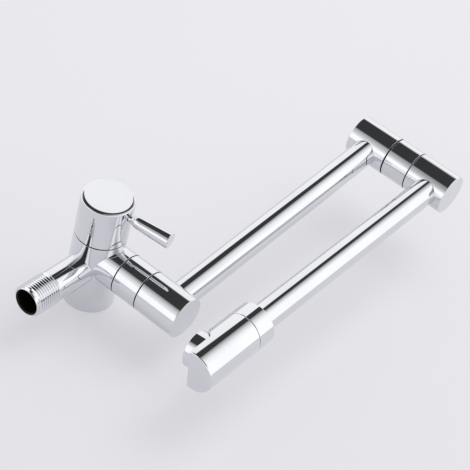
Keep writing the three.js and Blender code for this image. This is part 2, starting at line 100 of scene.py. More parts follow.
def strips(corners, closed):
    # Turns corners (radius, height, rounding) into short straight strips with their normals.
    steps = 5
    points = [(c[0], c[1], c[2] if len(c) > 2 else 0) for c in corners]
    count = len(points)
    trail = []
    for i, (r, h, soft) in enumerate(points):
        if soft and (closed or 0 < i < count - 1):
            before, after = points[i - 1], points[(i + 1) % count]
            a = math.atan2(h - before[1], r - before[0])
            b = math.atan2(after[1] - h, after[0] - r)
            turn = (b - a + math.pi) % (2 * math.pi) - math.pi
            reach = soft * math.tan(abs(turn) / 2)
            side = math.copysign(soft, turn)
            startR, startH = r - math.cos(a) * reach, h - math.sin(a) * reach
            midR, midH = startR - math.sin(a) * side, startH + math.cos(a) * side
            for k in range(steps + 1):
                at = a + turn * k / steps
                place = (midR + math.sin(at) * side, midH - math.cos(at) * side)
                trail.append((place, (math.sin(at), -math.cos(at)), k > 0))
        else:
            trail.append(((r, h), None, False))
    made = []
    last = len(trail) if closed else len(trail) - 1
    for i in range(last):
        (p, n, _), (q, m, arc) = trail[i], trail[(i + 1) % len(trail)]
        length = math.hypot(q[0] - p[0], q[1] - p[1])
        if length < 1e-6:
            continue
        flat = ((q[1] - p[1]) / length, -(q[0] - p[0]) / length)
        made.append((p, q, n if arc else flat, m if arc else flat))
    return made


def turned(corners, place, closed=False, facets=smooth, finish=0, paintedShade=None):
    # A turned part: its mesh, and the strips its normals come from. Strips picked by the given test take
    # the second finish, which is painted near-black shade for seams and bores.
    made = strips(corners, closed)
    middles = [((p[0] + q[0]) / 2, (p[1] + q[1]) / 2) for p, q, _, _ in made]
    finishes = [1 if paintedShade and paintedShade(*middle) else finish for middle in middles]
    matrix = Matrix.Diagonal((mm, mm, mm, 1)) @ place
    verts, faces, rings = [], [], []
    turns = [2 * math.pi * j / facets for j in range(facets)]
    outline = [s[0] for s in made] + ([] if closed else [made[-1][1]])
    for r, h in outline:
        first = len(verts)
        if r < 1e-6:
            verts.append(matrix @ Vector((0, 0, h)))
            rings.append([first] * facets)
        else:
            verts += [matrix @ Vector((r * math.cos(t), r * math.sin(t), h)) for t in turns]
            rings.append(list(range(first, first + facets)))
    for i in range(len(made)):
        low, high = rings[i], rings[(i + 1) % len(rings)]
        for j in range(facets):
            k = (j + 1) % facets
            face = [low[j], low[k], high[k], high[j]]
            faces.append([v for n, v in enumerate(face) if v not in face[:n]])
    mesh = bpy.data.meshes.new("part")
    mesh.from_pydata(verts, [], faces)
    return {"mesh": mesh, "strips": made, "place": place, "finishes": finishes}


# A bore's walls take the second finish, a painted near-black shade.
def bore(radius, low, high, place, facets=plain):
    return turned([(0, low), (radius, low), (radius, high), (0, high)], place, facets=facets, finish=1)


def block(low, high, place):
    mesh = bpy.data.meshes.new("part")
    shape = bmesh.new()
    bmesh.ops.create_cube(shape, size=1)
    for v in shape.verts:
        v.co = Vector([low[i] if v.co[i] < 0 else high[i] for i in range(3)])
    shape.transform(Matrix.Diagonal((mm, mm, mm, 1)) @ place)
    shape.to_mesh(mesh)
    shape.free()
    return {"mesh": mesh, "strips": [], "place": place, "finishes": []}


def joined(parts):
    # The first part with the others added to it or cut from it; each comes as (sign, part).
    work = bpy.context.scene.collection.objects
    main = bpy.data.objects.new("work", parts[0][1]["mesh"])
    work.link(main)
    helpers = []
    for sign, part in parts[1:]:
        helper = bpy.data.objects.new("helper", part["mesh"])
        work.link(helper)
        helpers.append(helper)
        change = main.modifiers.new("change", "BOOLEAN")
        change.operation = "UNION" if sign == "+" else "DIFFERENCE"
        change.solver = "MANIFOLD"
        change.object = helper
    evaluated = main.evaluated_get(bpy.context.evaluated_depsgraph_get())
    mesh = bpy.data.meshes.new_from_object(evaluated)
    for helper in helpers + [main]:
        bpy.data.objects.remove(helper)
    mesh.materials.clear()
    weld(mesh)
    return mesh


def weld(mesh, outwards=False):
    # Merges doubled corners and, if asked, turns the faces outwards.
    shape = bmesh.new()
    shape.from_mesh(mesh)
    bmesh.ops.remove_doubles(shape, verts=shape.verts, dist=1e-7)
    if outwards:
        bmesh.ops.recalc_face_normals(shape, faces=shape.faces)
    shape.to_mesh(mesh)
    shape.free()


def polished(mesh, parts):
    # Gives every corner the true normal of the turned surface it lies on, so that reflections run clean.
    corners = len(mesh.loops)
    where = np.empty(len(mesh.vertices) * 3)
    mesh.vertices.foreach_get("co", where)
    where = where.reshape(-1, 3)
    corner = np.empty(corners, np.int64)
    mesh.loops.foreach_get("vertex_index", corner)
    start = np.empty(len(mesh.polygons), np.int64)
    total = np.empty(len(mesh.polygons), np.int64)
    facing = np.empty(len(mesh.polygons) * 3)
    mesh.polygons.foreach_get("loop_start", start)
    mesh.polygons.foreach_get("loop_total", total)
    mesh.polygons.foreach_get("normal", facing)
    owner = np.repeat(np.arange(len(total)), total)
    facing = facing.reshape(-1, 3)
    normals = facing[owner].copy()
    finish = np.zeros(len(total), np.int64)
    done = np.zeros(len(total), bool)
    for part in parts:
        inverse = np.array(part["place"].inverted())
        spin = np.array(part["place"].to_3x3())
        local = (where / mm) @ inverse[:3, :3].T + inverse[:3, 3]
        radius = np.hypot(local[:, 0], local[:, 1])
        around = local[:, :2] / np.maximum(radius, 1e-9)[:, None]
        for ((r0, h0), (r1, h1), n0, n1), paint in zip(part["strips"], part["finishes"]):
            dr, dh = r1 - r0, h1 - h0
            length = math.hypot(dr, dh)
            share = ((radius - r0) * dr + (local[:, 2] - h0) * dh) / length ** 2
            off = np.abs((radius - r0) * dh - (local[:, 2] - h0) * dr) / length
            on = (off < nearby) & (share > -nearby / length) & (share < 1 + nearby / length)
            hit = np.logical_and.reduceat(on[corner], start) & ~done
            if not hit.any():
                continue
            share = np.clip(share, 0, 1)[:, None]
            mix = np.array(n0) * (1 - share) + np.array(n1) * share
            mix /= np.linalg.norm(mix, axis=1)[:, None]
            exact = np.column_stack([around * mix[:, :1], mix[:, 1]]) @ spin.T
            exact = exact[corner]
            agree = np.add.reduceat(np.einsum("ij,ij->i", exact, facing[owner]), start) / total
            hit &= np.abs(agree) > sameWay
            use = hit[owner]
            normals[use] = (exact * np.sign(agree)[owner][:, None])[use]
            finish[hit] = paint
            done |= hit
    mesh.polygons.foreach_set("use_smooth", np.ones(len(total), bool))
    mesh.polygons.foreach_set("material_index", finish)
    mesh.normals_split_custom_set(normals.tolist())
    mesh.update()
    return mesh


def fitted(name, parts, body, node, finishes):
    # A finished piece: made, polished, given its finish and its place in the frame.
    mesh = polished(joined(parts) if len(parts) > 1 else parts[0][1]["mesh"], [p for _, p in parts])
    mesh.name = name
    piece = bpy.data.objects.new(name, mesh)
    bpy.context.scene.collection.objects.link(piece)
    for finish in finishes:
        mesh.materials.append(finish)
    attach(piece, body)
    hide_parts(node)


# ---- finishes

class Wire:
    # A node socket that can be used in sums.
    def __init__(self, tree, socket):
        self.tree = tree
        self.socket = socket

    def maths(self, operation, *values):
        node = self.tree.nodes.new("ShaderNodeMath")
        node.operation = operation
        for i, value in enumerate((self,) + values):
            plug(self.tree, node.inputs[i], value)
        return Wire(self.tree, node.outputs[0])

    def __add__(self, other):
        return self.maths("ADD", other)

    def __mul__(self, other):
        return self.maths("MULTIPLY", other)

    def __sub__(self, other):
        return self.maths("SUBTRACT", other)

    def __truediv__(self, other):
        return self.maths("DIVIDE", other)

    def __rsub__(self, other):
        return self * -1 + other

    __radd__ = __add__
    __rmul__ = __mul__


def plug(tree, socket, value):
    if isinstance(value, Wire):
        tree.links.new(value.socket, socket)
    else:
        socket.default_value = value


class Finish:
    # A node tree for one finish, or for the world.
    def __init__(self, owner):
        owner.use_nodes = True
        self.tree = owner.node_tree
        self.tree.nodes.clear()

    def node(self, kind, settings=None, inputs=None, output=0):
        # Any node: its settings come first, then the values or links of its sockets.
        made = self.tree.nodes.new(kind)
        for name, value in (settings or {}).items():
            if name == "stops":
                ramp = made.color_ramp.elements
                while len(ramp) < len(value):
                    ramp.new(0.5)
                for stop, (position, colour) in zip(ramp, value):
                    stop.position, stop.color = position, colour
            else:
                setattr(made, name, value)
        for name, value in (inputs or {}).items():
            plug(self.tree, made.inputs[name], value)
        return Wire(self.tree, made.outputs[output])

    def objectSpace(self):
        return self.node("ShaderNodeTexCoord", output="Object")

    def noise(self, where, scale, detail=2.0, roughness=0.5):
        return self.node("ShaderNodeTexNoise", inputs={
            "Vector": where, "Scale": scale, "Detail": detail, "Roughness": roughness})

    def spread(self, value, low, high, fromLow=0.3, fromHigh=0.7):
        return self.node("ShaderNodeMapRange", inputs={
            "Value": value, "From Min": fromLow, "From Max": fromHigh, "To Min": low, "To Max": high})

    def blend(self, share, first, second):
        # Colours are mixed by their sockets' places, because the names repeat.
        return self.node("ShaderNodeMix", {"data_type": "RGBA"},
                         {0: share, 6: first, 7: second}, output=2)

    def bump(self, height, strength, distance):
        return self.node("ShaderNodeBump", inputs={
            "Height": height, "Strength": strength, "Distance": distance})

    def output(self, shader, kind="ShaderNodeOutputMaterial"):
        end = self.tree.nodes.new(kind)
        self.tree.links.new(shader.socket, end.inputs["Surface"])


def newFinish(name):
    material = bpy.data.materials.new(name)
    return material, Finish(material)


def shade(colour):
    return (colour[0], colour[1], colour[2], 1.0)


chromeLook = {
    "bright": (0.75, 0.76, 0.78), "dull": (0.71, 0.72, 0.745), "gloss": 0.015, "haze": 0.045,
    "cloud": 30, "handling": 140, "wave": 16, "waveStrength": 0.06, "waveHeight": 0.0002,
}


def chromeFinish():
    material, f = newFinish("polishedChrome")
    c = chromeLook
    where = f.objectSpace()
    cloud = f.noise(where, scale=c["cloud"], detail=3)
    handled = f.noise(where, scale=c["handling"], detail=4, roughness=0.6)
    wave = f.noise(where, scale=c["wave"], detail=1)
    f.output(f.node("ShaderNodeBsdfPrincipled", inputs={
        "Base Color": f.blend(f.spread(cloud, 0, 1), shade(c["bright"]), shade(c["dull"])),
        "Metallic": 1.0,
        "Roughness": f.spread(cloud * 0.6 + handled * 0.4, c["gloss"], c["haze"]),
        "Normal": f.bump(wave, c["waveStrength"], c["waveHeight"]),
    }))
    return material


def turnedBrassFinish(name, colour, dark, roughness):
    material, f = newFinish(name)
    where = f.objectSpace()
    cloud = f.noise(where, scale=160, detail=4, roughness=0.6)
    grain = f.noise(where, scale=2200, detail=2)
    f.output(f.node("ShaderNodeBsdfPrincipled", inputs={
        "Base Color": f.blend(f.spread(cloud, 0, 1), shade(colour), shade(dark)),
        "Metallic": 1.0,
        "Roughness": f.spread(cloud * 0.5 + grain * 0.5, roughness, roughness + 0.16),
        "Normal": f.bump(grain, strength=0.15, distance=0.0001),
    }))
    return material


def brushedSteelFinish():
    material, f = newFinish("brushedSteel")
    where = f.objectSpace()
    cloud = f.noise(where, scale=200, detail=3)
    grain = f.noise(where, scale=3000, detail=2)
    f.output(f.node("ShaderNodeBsdfPrincipled", inputs={
        "Base Color": f.blend(
            f.spread(cloud, 0, 1), shade((0.56, 0.57, 0.59)), shade((0.46, 0.47, 0.49))),
        "Metallic": 1.0,
        "Roughness": f.spread(grain, 0.24, 0.38),
        "Normal": f.bump(grain, strength=0.12, distance=0.0001),
    }))
    return material


def mouldedFinish(name, colour, dark, roughness, pore):
    material, f = newFinish(name)
    where = f.objectSpace()
    cloud = f.noise(where, scale=120, detail=3)
    grain = f.noise(where, scale=1600, detail=3)
    f.output(f.node("ShaderNodeBsdfPrincipled", inputs={
        "Base Color": f.blend(f.spread(cloud, 0, 1), shade(colour), shade(dark)),
        "Roughness": f.spread(cloud * 0.5 + grain * 0.5, roughness - 0.06, roughness + 0.08),
        "Normal": f.bump(grain, strength=pore, distance=0.0001),
    }))
    return material


chrome = chromeFinish()
# Near-black finish for seam faces, bores and inner walls: painted shade in the gaps and hollows, not a
# colour the brass has.
gapShadeFinish = turnedBrassFinish(
    "paintedGapShade", colour=(0.035, 0.031, 0.026), dark=(0.02, 0.018, 0.016), roughness=0.5)
brass = turnedBrassFinish(
    "turnedBrass", colour=(0.72, 0.53, 0.25), dark=(0.60, 0.43, 0.19), roughness=0.26)
steel = brushedSteelFinish()
rubber = mouldedFinish(
    "blackRubber", colour=(0.018, 0.018, 0.02), dark=(0.028, 0.028, 0.03), roughness=0.7, pore=0.3)
nylon = mouldedFinish(
    "whiteNylon", colour=(0.80, 0.79, 0.75), dark=(0.74, 0.73, 0.69), roughness=0.45, pore=0.15)
ceramic = mouldedFinish(
    "whiteCeramic", colour=(0.86, 0.85, 0.82), dark=(0.82, 0.81, 0.78), roughness=0.25, pore=0.05)
print("finishes made")


# ---- valve body

valve = {
    "radius": 17.0, "closedEnd": -37.0, "seam": 17.2, "endRound": 0.6,
    "neckRadius": 14.0, "neckTop": 24.8, "stubRadius": 9.7, "stubTop": 33.0,
    "pipeRadius": 10.25, "reach": 61.6, "threadLength": 19.8, "threadRoot": 9.45,
    "threadRunout": 0.8, "rootRound": 0.2, "noseChamfer": 0.5,
    "boreRadius": 7.8, "boreDepth": 42.0, "countersink": 0.9, "feedAside": 10.0,
}
drillings = {  # radius, then from where to where along its axis
    "chamber": (5.4, -15.4, -4), "feed": (4.4, 0, 20.6), "cage": (9.6, -5, 9),
    "screw": (10.7, 8, 18.4), "ringPocket": (12.6, 15.9, 18.4), "outlet": (7.2, 0, 34),
}
ox, oy = layout["outlet"]
valveAxis = axisFrame((ox, oy, 0), (1, 0, 0), (0, 0, -1))
outletAxis = axisFrame((ox, oy, 0), (0, 0, 1), (1, 0, 0))
inletAxis = axisFrame((layout["inletX"], oy, 0), (0, 1, 0), (1, 0, 0))


def makeValveBody():
    v = valve
    threadFrom = v["reach"] - v["threadLength"]
    # The faces at the seams, the stub inside the ring and the bores get painted near-black shade.
    casting = turned([
        (0, v["closedEnd"]), (v["radius"], v["closedEnd"], v["endRound"]),
        (v["radius"], v["seam"], seamRound), (0, v["seam"])], valveAxis,
        paintedShade=lambda r, h: h > v["seam"] - touch)
    neck = turned([
        (0, 0), (v["neckRadius"], 0), (v["neckRadius"], v["neckTop"], seamRound), (0, v["neckTop"])],
        outletAxis, paintedShade=lambda r, h: h > v["neckTop"] - touch)
    stub = turned([
        (0, v["neckTop"] - past), (v["stubRadius"], v["neckTop"] - past),
        (v["stubRadius"], v["stubTop"]), (0, v["stubTop"])], outletAxis, finish=1)
    inlet = turned([
        (0, 0), (v["pipeRadius"], 0), (v["pipeRadius"], threadFrom, v["rootRound"]),
        (v["threadRoot"], threadFrom + v["threadRunout"], v["rootRound"]),
        (v["threadRoot"], v["reach"] - v["noseChamfer"], v["rootRound"]),
        (v["threadRoot"] - v["noseChamfer"], v["reach"], 0.1), (0, v["reach"])], inletAxis)
    mouthRadius = v["boreRadius"] + v["countersink"]
    mouth = turned([
        (0, v["reach"] - v["boreDepth"]), (v["boreRadius"], v["reach"] - v["boreDepth"]),
        (v["boreRadius"], v["reach"] - v["countersink"]), (mouthRadius, v["reach"]),
        (mouthRadius, v["reach"] + past), (0, v["reach"] + past)], inletAxis, finish=1)

    feedAxis = axisFrame((ox - v["feedAside"], oy, 0), (0, 1, 0), (1, 0, 0))
    places = {"feed": feedAxis, "outlet": outletAxis}
    parts = [("+", casting), ("+", neck), ("+", stub), ("+", inlet), ("-", mouth)]
    for name, (radius, low, high) in drillings.items():
        parts.append(("-", bore(radius, low, high, places.get(name, valveAxis))))
    fitted("valveCasting", parts, "valve", "valve_body", [chrome, gapShadeFinish])


makeValveBody()


# ---- inlet thread

thread = {
    "outerRadius": 10.4775, "rootRadius": 9.35, "pitch": 1.814, "turns": 10.0, "start": 42.4,
    "rootWidth": 1.62, "crestWidth": 0.3, "stepsPerTurn": 72, "fade": 0.035,
    "sharpFrom": 35,
}


def makeThread():
    t = thread
    tree = bpy.data.node_groups.new("helicalThread", "GeometryNodeTree")
    names = ["Turns", "Radius", "Length", "Root Width", "Crest Width", "Depth", "Start", "Fade"]
    length, depth = t["turns"] * t["pitch"], t["outerRadius"] - t["rootRadius"]
    values = [t["turns"], t["rootRadius"] * mm, length * mm, t["rootWidth"] * mm,
              t["crestWidth"] * mm, depth * mm, t["start"] * mm, t["fade"]]

    def addSocket(name, kind, way="INPUT"):
        return tree.interface.new_socket(name, in_out=way, socket_type=kind).identifier

    ids = {name: addSocket(name, "NodeSocketFloat") for name in names}
    finishId = addSocket("Finish", "NodeSocketMaterial")
    addSocket("Geometry", "NodeSocketGeometry", "OUTPUT")
    source = tree.nodes.new("NodeGroupInput")
    link = tree.links.new

    def node(kind, settings=None, inputs=None):
        made = tree.nodes.new(kind)
        for key, value in (settings or {}).items():
            setattr(made, key, value)
        for key, value in (inputs or {}).items():
            if isinstance(value, bpy.types.NodeSocket):
                link(value, made.inputs[key])
            else:
                made.inputs[key].default_value = value
        return made

    spiral = node("GeometryNodeCurveSpiral", inputs={
        "Resolution": t["stepsPerTurn"], "Rotations": source.outputs["Turns"],
        "Start Radius": source.outputs["Radius"], "End Radius": source.outputs["Radius"],
        "Height": source.outputs["Length"]})
    upright = node("GeometryNodeSetCurveNormal", {"mode": "Z_UP"}, {"Curve": spiral.outputs[0]})
    along = node("GeometryNodeSplineParameter").outputs["Factor"]
    rise = node("ShaderNodeMath", {"operation": "DIVIDE", "use_clamp": True},
                {0: along, 1: source.outputs["Fade"]}).outputs[0]
    back = node("ShaderNodeMath", {"operation": "SUBTRACT"}, {0: 1.0, 1: along}).outputs[0]
    fall = node("ShaderNodeMath", {"operation": "DIVIDE", "use_clamp": True},
                {0: back, 1: source.outputs["Fade"]}).outputs[0]
    fade = node("ShaderNodeMath", {"operation": "MINIMUM"}, {0: rise, 1: fall}).outputs[0]
    scaled = node("GeometryNodeSetCurveRadius", inputs={"Curve": upright.outputs[0], "Radius": fade})
    ridge = node("GeometryNodeCurvePrimitiveQuadrilateral", {"mode": "TRAPEZOID"}, {
        "Height": source.outputs["Depth"], "Bottom Width": source.outputs["Root Width"],
        "Top Width": source.outputs["Crest Width"], "Offset": 0.0})
    half = node("ShaderNodeMath", {"operation": "MULTIPLY"},
                {0: source.outputs["Depth"], 1: 0.5}).outputs[0]
    lift = node("ShaderNodeCombineXYZ", inputs={"Y": half})
    raised = node("GeometryNodeTransform", inputs={
        "Geometry": ridge.outputs[0], "Translation": lift.outputs[0]})
    sideways = node("GeometryNodeTransform", inputs={
        "Geometry": raised.outputs[0], "Rotation": (0, 0, math.pi / 2)})
    body = node("GeometryNodeCurveToMesh", inputs={
        "Curve": scaled.outputs[0], "Profile Curve": sideways.outputs[0], "Fill Caps": True})
    moved = node("ShaderNodeCombineXYZ", inputs={"Y": source.outputs["Start"]})
    laid = node("GeometryNodeTransform", inputs={
        "Geometry": body.outputs[0], "Translation": moved.outputs[0], "Rotation": (-math.pi / 2, 0, 0)})
    real = node("GeometryNodeRealizeInstances", inputs={"Geometry": laid.outputs[0]})
    painted = node("GeometryNodeSetMaterial", inputs={
        "Geometry": real.outputs[0], "Material": source.outputs["Finish"]})
    link(painted.outputs[0], tree.nodes.new("NodeGroupOutput").inputs[0])

    work = bpy.data.objects.new("work", bpy.data.meshes.new("work"))
    bpy.context.scene.collection.objects.link(work)
    change = work.modifiers.new("thread", "NODES")
    change.node_group = tree
    for name, value in zip(names, values):
        change[ids[name]] = value
    change[finishId] = chrome
    mesh = bpy.data.meshes.new_from_object(work.evaluated_get(bpy.context.evaluated_depsgraph_get()))
    bpy.data.objects.remove(work)
    mesh.transform(Matrix.Translation((layout["inletX"] * mm, oy * mm, 0)))
    weld(mesh, outwards=True)
    mesh.set_sharp_from_angle(angle=math.radians(t["sharpFrom"]))
    piece = bpy.data.objects.new("inletThread", mesh)
    bpy.context.scene.collection.objects.link(piece)
    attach(piece, "valve")


makeThread()
print("valve made")


# ---- handle

handle = {
    "from": 17.9, "top": 46.4, "flatRadius": 14.6, "roll": 22, "shoulder": 0.8,
    "cavityTop": 42.6, "wall": 2.0, "boss": 7.2, "bossFrom": 27.1, "stemBore": 4.3, "stemTop": 42.5,
    "leverAt": 40.0, "leverGap": 0.3, "leverReach": 46.5, "stub": 2.2, "stubGap": 0.3, "stubFrom": 4.6,
    "neck": 2.6, "neckLength": 1.6, "neckRound": 0.15, "flare": 5.4, "root": 4.1,
    "tip": 5.1, "tipRound": 0.6, "screwAt": 32.0, "screwHole": 2.3, "holeReach": 18,
}


def domeProfile():
    # A flat middle that rolls over gently and then turns down round the shoulder to the wall.
    g = handle
    roll = math.radians(g["roll"])
    edgeR = valve["radius"] - g["shoulder"] * (1 - math.sin(roll))
    bend = (edgeR - g["flatRadius"]) / math.sin(roll)
    edgeH = g["top"] - bend * (1 - math.cos(roll))
    wallTop = edgeH - g["shoulder"] * math.cos(roll)
    points = []
    steps = 12
    for i in range(steps + 1):
        turn = math.pi / 2 - (math.pi / 2 - roll) * i / steps
        points.append((valve["radius"] - g["shoulder"] * (1 - math.sin(turn)),
                       wallTop + g["shoulder"] * math.cos(turn)))
    for i in range(1, steps + 1):
        turn = roll * (1 - i / steps)
        points.append((g["flatRadius"] + bend * math.sin(turn), g["top"] - bend * (1 - math.cos(turn))))
    return points + [(0, g["top"])]


def flowing(part, chosen):
    # Shares the normals between neighbouring strips of a curve that is drawn in short straight steps.
    made = part["strips"]
    for i in range(len(made) - 1):
        (p, q, n, m), (q2, r, n2, m2) = made[i], made[i + 1]
        if chosen(q):
            both = Vector(m) + Vector(n2)
            both.normalize()
            made[i] = (p, q, n, tuple(both))
            made[i + 1] = (q2, r, tuple(both), m2)


def makeHandle():
    g = handle
    lean = math.radians(layout["leverLean"])
    up = Vector((0, -math.sin(lean), math.cos(lean)))
    crown = domeProfile()
    capBore = valve["radius"] - g["wall"]
    inside = [
        (0, g["stemTop"]), (g["stemBore"], g["stemTop"]), (g["stemBore"], g["bossFrom"]),
        (g["boss"], g["bossFrom"]), (g["boss"], g["cavityTop"]),
        (capBore, g["cavityTop"]), (capBore, g["from"])]

    # The cap's inner faces get painted near-black shade.
    def isInside(r, h):
        return h < g["from"] + touch or r < capBore + 0.1 and h < g["cavityTop"] + touch

    cap = turned(inside + [(valve["radius"], g["from"], seamRound)] + crown, valveAxis, paintedShade=isInside)
    flowing(cap, lambda place: place[0] > 0.5 and place[1] > crown[0][1] - touch)
    leverAxis = axisFrame(Vector((ox + g["leverAt"], oy, 0)), up, (1, 0, 0))
    screwAxis = axisFrame(Vector((ox + g["screwAt"], oy, 0)), -up, (1, 0, 0))

    def hole(radius, place):
        reach = g["holeReach"]
        return turned([(0, 0), (radius, 0), (radius, reach), (0, reach)], place, facets=48)

    leverHole, screwHole = hole(g["stub"] + g["stubGap"], leverAxis), hole(g["screwHole"], screwAxis)
    fitted("domedCap", [("+", cap), ("-", leverHole), ("-", screwHole)],
           "handle", "handle_cap", [chrome, gapShadeFinish])

    root = valve["radius"] + g["leverGap"]
    flareFrom = root + g["neckLength"]
    bell = []
    steps = 14
    for i in range(steps + 1):
        share = i / steps
        bell.append((g["neck"] + (g["root"] - g["neck"]) * math.sin(share * math.pi / 2),
                     flareFrom + g["flare"] * share))
    stem = [(0, g["stubFrom"]), (g["stub"], g["stubFrom"]), (g["stub"], root)]
    grip = [(g["tip"], g["leverReach"], g["tipRound"]), (0, g["leverReach"])]
    lever = turned(stem + [(g["neck"], root, g["neckRound"])] + bell + grip, leverAxis, facets=96)
    flowing(lever, lambda place: flareFrom - touch < place[1] < flareFrom + g["flare"] + touch)
    fitted("leverBar", [("+", lever)], "handle", "handle_lever", [chrome])


makeHandle()
print("handle made")


# ---- swivels and arms

arms = {
    "hubRadius": 14.0, "ring": 18.6, "hub": 30.2, "inset": 16.2, "edge": 0.5,
    "armRadius": 9.0, "wall": 1.2, "seat": 10.0, "seatGap": 0.3, "pocketGap": 0.08,
    "lowerTubeEnd": 204, "upperTubeEnd": 199.2, "stub": 9.7, "stubHeight": 8.0, "stubRound": 0.2,
    "nut": 10.0, "run": 8.8, "flangeTop": 11.2, "bush": 11.3, "bushFrom": 12.7, "bore": 24.2,
    "fixedBore": 7.2, "baseSeam": 25.0, "elbowSeam": 76.0,
}


def makeRing(name, axisAt, seamZ, body, node):
    a = arms
    place = axisFrame((axisAt[0], axisAt[1], seamZ), (0, 0, 1), (1, 0, 0))
    top = a["ring"] - seamBack
    # The ring's inner faces get painted near-black shade.
    ring = turned([
        (a["nut"], seam), (a["hubRadius"], seam, seamRound), (a["hubRadius"], top, seamRound),
        (a["bush"], top), (a["bush"], a["bushFrom"]), (a["run"], a["bushFrom"]),
        (a["run"], a["flangeTop"]), (a["nut"], a["flangeTop"])], place, closed=True,
        paintedShade=lambda r, h: r < a["hubRadius"] - seamRound)
    fitted(name, [("+", ring)], body, node, [chrome, gapShadeFinish])


def makeHub(name, axisAt, seamZ, heading, body, node, boreRadius, upwards=True, stub=False):
    a = arms
    along = (0, 0, 1 if upwards else -1)
    place = axisFrame((axisAt[0], axisAt[1], seamZ), along, (1, 0, 0))
    side = seamZ + (a["inset"] if upwards else -a["inset"])
    armAxis = axisFrame((axisAt[0], axisAt[1], side), heading, (0, 0, 1))
    if stub:
        corners = [
            (boreRadius, -a["stubHeight"]), (a["stub"], -a["stubHeight"], a["stubRound"]),
            (a["stub"], seam)]
    else:
        corners = [(boreRadius, seam)]
    corners += [
        (a["hubRadius"], seam, seamRound), (a["hubRadius"], a["hub"], a["edge"]),
        (0, a["hub"]), (0, a["bore"]), (boreRadius, a["bore"])]
    # The hub's faces at the seam and in its bore get painted near-black shade.
    shell = turned(corners, place, closed=True,
                   paintedShade=lambda r, h: r < a["hubRadius"] - seamRound and h < a["bore"] + touch)
    pocketRadius = a["armRadius"] + a["pocketGap"]
    pocket = bore(pocketRadius, a["seat"] - a["seatGap"], a["hubRadius"] + past, armAxis, smooth)
    way = bore(a["armRadius"] - a["wall"], past, a["seat"], armAxis)
    fitted(name, [("+", shell), ("-", pocket), ("-", way)], body, node, [chrome, gapShadeFinish])


def makeTube(name, axisAt, height, heading, start, end, body, node):
    a = arms
    place = axisFrame((axisAt[0], axisAt[1], height), heading, (0, 0, 1))
    inner = a["armRadius"] - a["wall"]
    tube = turned([(inner, start), (a["armRadius"], start), (a["armRadius"], end), (inner, end)],
                  place, closed=True)
    fitted(name, [("+", tube)], body, node, [chrome])


lowerWay = swing(layout["baseSwing"])
upperWay = swing(layout["upperSwing"])
outlet, elbow = layout["outlet"], layout["elbow"]
baseHubSeam = arms["baseSeam"] + arms["ring"]
elbowHubSeam = arms["elbowSeam"] + arms["ring"]
makeRing("baseRingNut", outlet, arms["baseSeam"], "valve", "base_ring")
makeHub("baseHubShell", outlet, baseHubSeam, lowerWay, "lower_arm_set", "base_hub", arms["run"])
makeTube("lowerTube", outlet, layout["lowerArmZ"], lowerWay, arms["seat"], arms["lowerTubeEnd"],
         "lower_arm_set", "lower_arm")
makeHub("elbowLowerShell", elbow, arms["elbowSeam"], -lowerWay, "lower_arm_set", "elbow_lower_hub",
        arms["fixedBore"], upwards=False, stub=True)
makeRing("elbowRingNut", elbow, arms["elbowSeam"], "lower_arm_set", "elbow_ring")
makeHub("elbowUpperShell", elbow, elbowHubSeam, upperWay, "upper_arm_set", "elbow_upper_hub",
        arms["run"])
makeTube("upperTube", elbow, layout["upperArmZ"], upperWay, arms["seat"], arms["upperTubeEnd"],
         "upper_arm_set", "upper_arm")
print("arms made")


# ---- spout head

head = {
    "collarFrom": 194.2, "collarTo": 207.5, "collarGap": 0.06, "flangeSeat": 202.1,
    "from": 207.64, "to": 253.5, "endRound": 0.9, "startRound": 0.6, "bore": 7.3, "boreTo": 215.2,
    "flatDrop": 3.5, "cutterRadius": 13.7, "cutterReach": 15.5, "clear": 16,
    "channelRise": 3.4, "channelRadius": 3.8, "channelFrom": 214.9, "channelTo": 240.7,
    "seat": 10.9, "seatTop": -2.2, "seatReach": 15,
    "aeratorAt": 236.9, "aeratorRadius": 12.0, "aeratorBottom": 12.1, "aeratorWall": 2.8,
    "aeratorLip": 1.0, "lipHeight": 1.2, "aeratorStub": 10.6, "aeratorTop": -0.7, "aeratorGap": 0.3,
}


